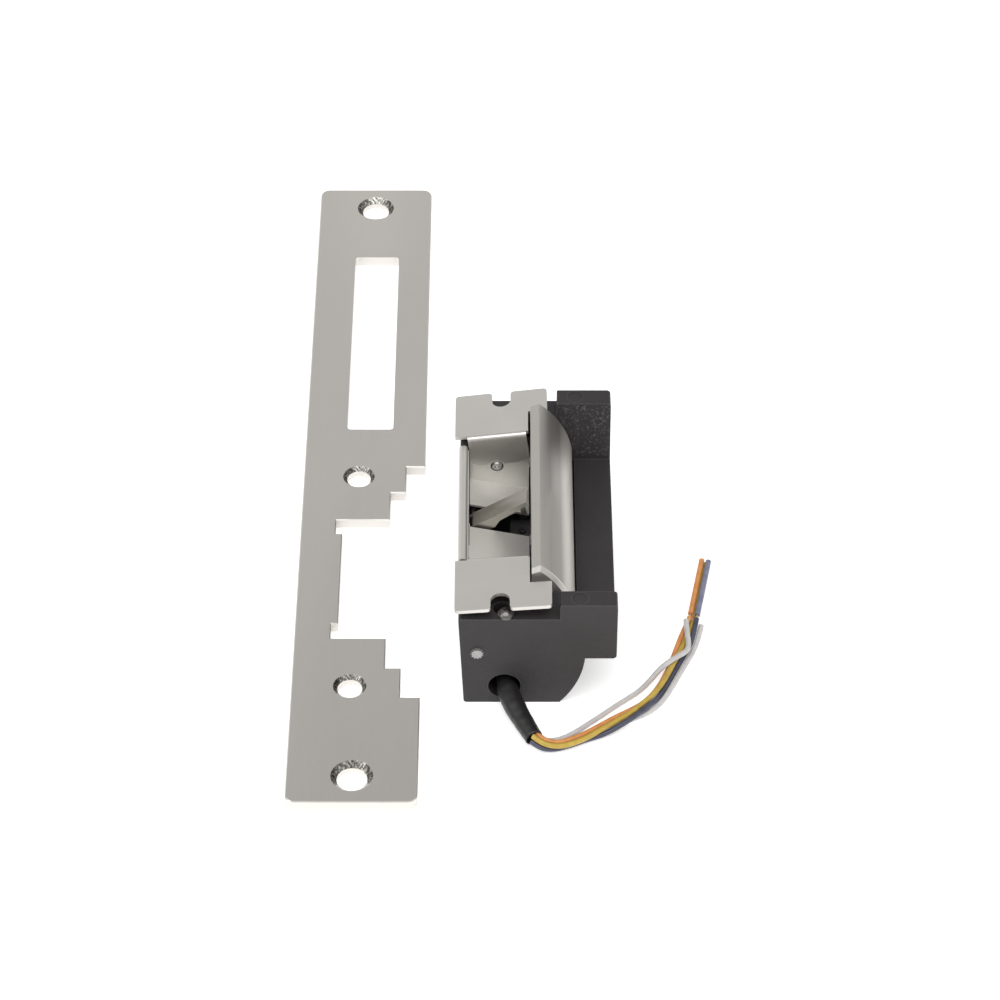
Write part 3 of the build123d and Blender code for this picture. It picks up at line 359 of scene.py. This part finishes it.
# The wires follow the middle line of the bundle in lanes: station on that line, distance to
# its right, height.
LANES = {
    "orange": [(0, -1.0, 3.3), (1, -0.9, 2.9), (2, -0.8, 2.3), (3, -0.74, 2.02), (4, -0.74, 2.0),
               (5, -0.74, 2.05), (6, -1.12, 2.15), (7, -1.4, 2.1), (8, -1.3, 1.6), (9, -1.1, 0.9),
               (10, -1.0, 0.74), (11, -0.85, 0.74), (12, -0.85, 0.74), (13, -1.1, 0.85),
               (14, -1.5, 1.1), (15, -1.4, 1.55), (16, -0.9, 1.95)],
    "yellow": [(0, 0.5, 3.6), (1, 0.55, 3.1), (2, 0.65, 2.5), (3, 0.75, 2.1), (4, 0.74, 2.02),
               (5, 0.74, 2.15), (6, 0.3, 2.45), (7, 0.02, 2.3), (8, 0.0, 2.2), (9, -0.25, 2.15),
               (10, -0.2, 2.05), (11, 0.0, 2.0), (12, 0.0, 2.0), (13, 0.0, 1.85), (14, 0.0, 1.4),
               (15, 0.0, 0.9), (16, 0.0, 0.74)],
    "blue": [(0, 1.2, 2.2), (1, 0.95, 1.4), (2, 0.4, 0.9), (3, 0.0, 0.74), (4, 0.0, 0.74),
             (5, 0.1, 0.74), (6, 1.15, 1.05), (7, 1.6, 1.95), (8, 1.52, 2.2), (9, 1.35, 2.2),
             (10, 1.0, 1.05), (11, 0.8, 0.74), (12, 0.85, 0.74), (13, 1.1, 0.85), (14, 1.5, 1.1),
             (15, 1.4, 1.55), (16, 0.9, 1.95)],
    "white_a": [(0, -1.38, 1.7), (1, -2.05, 1.3), (2, -2.68, 0.95), (3, -2.96, 0.74), (4, -3.1, 0.7),
                (5, -3.7, 0.72), (6, -4.5, 0.7), (7, -5.1, 0.7), (8, -5.4, 0.7), (9, -5.1, 0.7),
                (10, -4.4, 0.75), (10.9, -3.6, 1.2), (11.6, -2.5, 2.5), (12.2, -0.9, 3.5),
                (12.8, 0.8, 3.6), (13.3, 2.1, 3.3), (13.85, 1.7, 2.9), (14.6, 0.1, 2.9),
                (15.5, -1.4, 3.2)],
    "white_b": [(0, 0.1, 1.1), (1, -0.5, 0.95), (2, -1.05, 0.8), (3, -1.48, 0.74), (4, -1.48, 0.72),
                (5, -1.45, 0.72), (6, -1.2, 0.72), (7, -0.3, 0.72), (8, 0.95, 0.7), (9, 2.25, 0.7),
                (10, 2.4, 0.72), (11, 2.3, 0.7), (12, 2.35, 0.7), (13, 2.65, 0.7),
                (14, 2.95, 0.7), (15, 2.75, 0.7), (15.8, 2.45, 0.75)],
}


def rightwards(station):
    """Level unit vector to the right of the bundle's middle line at one of its points."""
    before = Vector(BUNDLE_ROUTE[max(station - 1, 0)])
    after = Vector(BUNDLE_ROUTE[min(station + 1, len(BUNDLE_ROUTE) - 1)])
    way = (after - before).normalized()
    return Vector((way.y, -way.x))


def lane(places):
    """The points of one wire's route, in millimetres."""
    route = []
    for station, right, height in places:
        i = min(int(station), len(BUNDLE_ROUTE) - 2)
        part = station - i
        middle = Vector(BUNDLE_ROUTE[i]).lerp(Vector(BUNDLE_ROUTE[i + 1]), part)
        across = rightwards(i).lerp(rightwards(i + 1), part).normalized()
        route.append((*(middle + across * right), height))
    return route


def spline(name, route, diameter=0.0):
    """A smooth cord along a route given in millimetres."""
    curve = bpy.data.curves.new(name, "CURVE")
    curve.dimensions = "3D"
    line = curve.splines.new("NURBS")
    line.points.add(len(route) - 1)
    for point, place in zip(line.points, route):
        point.co = (*mm(*place), 1.0)
    line.order_u = 3
    line.use_endpoint_u = True
    line.resolution_u = 16
    curve.bevel_depth = diameter / 2 * MM
    curve.bevel_resolution = 6
    curve.use_fill_caps = True
    obj = bpy.data.objects.new(name, curve)
    bpy.context.collection.objects.link(obj)
    return obj


def centreline(route):
    """The points of a route's smooth line, and its length."""
    bare = spline("line", route)
    mesh = bpy.data.meshes.new_from_object(bare)
    points = [v.co.copy() for v in mesh.vertices]
    bpy.data.meshes.remove(mesh)
    bpy.data.objects.remove(bare)
    return points, sum((b - a).length for a, b in zip(points, points[1:]))


def lay_wire(colour, route, diameter, material):
    """One wire of the lead, from the sleeve's mouth to its bare end."""
    wire = spline(f"lead_{colour}", route, diameter)
    wire.data.materials.append(material)
    length = centreline(route)[1]
    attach(wire, "housing")
    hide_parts(f"wire_{colour}")


ROUNDING = 1e-9                     # metres, for comparing distances along a line


def sweep(name, points, rings, material):
    """A closed tube along a line.

    Its rings are pairs: place along the line from 0 to 1, and radius in millimetres. The outside
    comes first, then the inside of the mouth.
    """
    travelled = [0.0]
    for a, b in zip(points, points[1:]):
        travelled.append(travelled[-1] + (b - a).length)
    mesh = bpy.data.meshes.new(name)
    build = bmesh.new()
    sides = 40
    loops = []
    for share, radius in rings:
        reach = share * travelled[-1]
        i = max(k for k in range(len(points) - 1) if travelled[k] <= reach + ROUNDING)
        step = (points[i + 1] - points[i]).normalized()
        centre = points[i] + step * (reach - travelled[i])
        side = step.cross(Vector((0, 0, 1))).normalized()
        up = side.cross(step)
        ring = []
        for k in range(sides):
            turn = 2 * math.pi * k / sides
            outward = side * math.cos(turn) + up * math.sin(turn)
            ring.append(build.verts.new(centre + outward * radius * MM))
        loops.append(ring)
    for a, b in zip(loops, loops[1:]):
        for k in range(sides):
            build.faces.new((a[k], a[(k + 1) % sides], b[(k + 1) % sides], b[k]))
    build.faces.new(reversed(loops[0]))
    build.faces.new(loops[-1])
    bmesh.ops.recalc_face_normals(build, faces=build.faces)
    build.to_mesh(mesh)
    build.free()
    mesh.shade_smooth()
    obj = bpy.data.objects.new(name, mesh)
    obj.data.materials.append(material)
    bpy.context.collection.objects.link(obj)
    return obj


# The sleeve: a soft tube, widest where it leaves the housing and narrowing to its open mouth.
# Each radius, in millimetres, goes with a place from 0 to 1 along it.
SLEEVE_RADII = ((0.0, 2.47), (0.38, 2.47), (0.47, 2.84), (0.62, 2.8), (0.8, 2.55), (0.97, 2.33), (1.0, 2.3))
SLEEVE_RINGS = 60
RIPPLE_DEPTH, RIPPLE_PITCH = 0.02, 70        # faint pressed ripples, on the outer half only


def sleeve_radius(share):
    """Outside radius of the sleeve at a share of its length."""
    for (s0, r0), (s1, r1) in zip(SLEEVE_RADII, SLEEVE_RADII[1:]):
        if share <= s1:
            blend = (share - s0) / (s1 - s0)
            blend = blend * blend * (3 - 2 * blend)
            ripple = RIPPLE_DEPTH * math.sin(share * RIPPLE_PITCH) if share > 0.5 else 0.0
            return r0 + (r1 - r0) * blend + ripple
    return SLEEVE_RADII[-1][1]


sleeve_line, sleeve_length = centreline(SLEEVE_ROUTE)
outside = [(k / SLEEVE_RINGS, sleeve_radius(k / SLEEVE_RINGS)) for k in range(SLEEVE_RINGS)]
# the rim, and the start of the bore
mouth = [(0.9985, 2.3), (1.0, 2.2), (1.0, 2.05), (0.94, 2.0)]
sleeve = sweep("sleeve", sleeve_line, outside + mouth, sleeve_vinyl)
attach(sleeve, "housing")
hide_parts("cable_sleeve")

INSULATION = {"orange": vinyl_orange, "yellow": vinyl_yellow, "blue": vinyl_blue_shaded,
              "white_a": vinyl_white, "white_b": vinyl_white}
for colour, places in LANES.items():
    tips = [nodes[f"slug_{colour}"]] if f"slug_{colour}" in nodes else []
    if colour == "yellow":
        tips.append(nodes["copper_strands"])
    lay_wire(colour, lane(places), WIRE_D, INSULATION[colour])

# ============================ CAD nodes' looks ==============================
for node_name, node_material in FINISH.items():
    finish_node(node_name, node_material)

# ============================ stage =========================================
FLOOR_HALF = 6.0                    # metres
FLOOR_Z = -0.00005                  # a hair under the parts that lie on it
CORNERS = ((-1, -1), (1, -1), (1, 1), (-1, 1))
floor_mesh = bpy.data.meshes.new("floor")
floor_mesh.from_pydata([(x * FLOOR_HALF, y * FLOOR_HALF, 0) for x, y in CORNERS], [], [(0, 1, 2, 3)])
floor = bpy.data.objects.new("floor", floor_mesh)
floor.location = (0, 0, FLOOR_Z)
bpy.context.collection.objects.link(floor)
# the paper glows a little, so that it's as white as a lit backdrop
paper = Shader("paper")
paper.set(Base_Color=(0.96, 0.96, 0.96, 1.0), Roughness=0.9, Specular_IOR_Level=0.1,
          Emission_Color=(1.0, 1.0, 1.0, 1.0), Emission_Strength=0.45)
floor.data.materials.append(paper.material)


def lamp(name, place, size, power):
    """A large soft area light aimed at the middle of the floor."""
    light = bpy.data.lights.new(name, "AREA")
    light.shape = "RECTANGLE"
    light.size, light.size_y = size
    light.energy = power
    obj = bpy.data.objects.new(name, light)
    obj.location = place
    obj.rotation_euler = (-Vector(place)).to_track_quat("-Z", "Y").to_euler()
    bpy.context.collection.objects.link(obj)


lamp("top", place=(0.0, -0.35, 1.05), size=(1.1, 0.7), power=7.5)
lamp("left", place=(-0.75, -0.35, 0.7), size=(0.5, 0.6), power=1.6)

# The studio round the object. Its grey goes by the height of the view, from 0 level to 1
# overhead, and it darkens low down on the far right.
STUDIO_GREY = [(0.0, 0.50), (0.3, 0.66), (0.56, 0.92), (0.67, 0.62), (0.77, 0.38), (0.9, 0.36), (1.0, 0.5)]
FAR_RIGHT = [(0.08, 0.0), (0.35, 1.0)]
LOW_DOWN = [(0.15, 1.0), (0.55, 0.0)]
DARKENING = 0.75

world = bpy.data.worlds.new("studio")
world.use_nodes = True
studio = world.node_tree
sky = studio.nodes["Background"]


def studio_ramp(source, stops):
    """Grey levels along a value from 0 to 1."""
    ramp = studio.nodes.new("ShaderNodeValToRGB")
    keys = ramp.color_ramp.elements
    while len(keys) < len(stops):
        keys.new(0.5)
    # the keys can change places while they move, so their greys are set afterwards
    for key, (place, grey) in zip(keys, stops):
        key.position = place
    for key, (place, grey) in zip(keys, stops):
        key.color = (grey, grey, grey, 1.0)
    studio.links.new(source, ramp.inputs["Fac"])
    return ramp.outputs["Color"]


def studio_math(operation, a, b):
    """One sum of two sockets or plain values."""
    node = studio.nodes.new("ShaderNodeMath")
    node.operation = operation
    for socket, value in zip(node.inputs, (a, b)):
        if isinstance(value, bpy.types.NodeSocket):
            studio.links.new(value, socket)
        else:
            socket.default_value = value
    return node.outputs[0]


direction = studio.nodes.new("ShaderNodeTexCoord")
axes = studio.nodes.new("ShaderNodeSeparateXYZ")
studio.links.new(direction.outputs["Generated"], axes.inputs[0])
grey = studio_ramp(axes.outputs["Z"], STUDIO_GREY)
far_right = studio_ramp(studio_math("MULTIPLY", axes.outputs["X"], axes.outputs["Y"]), FAR_RIGHT)
corner = studio_math("MULTIPLY", far_right, studio_ramp(axes.outputs["Z"], LOW_DOWN))
shade = studio_math("SUBTRACT", 1.0, studio_math("MULTIPLY", corner, DARKENING))
studio.links.new(studio_math("MULTIPLY", grey, shade), sky.inputs["Strength"])
sky.inputs["Color"].default_value = (1.0, 0.995, 0.985, 1.0)
bpy.context.scene.world = world
bpy.context.scene.view_settings.view_transform = "Standard"
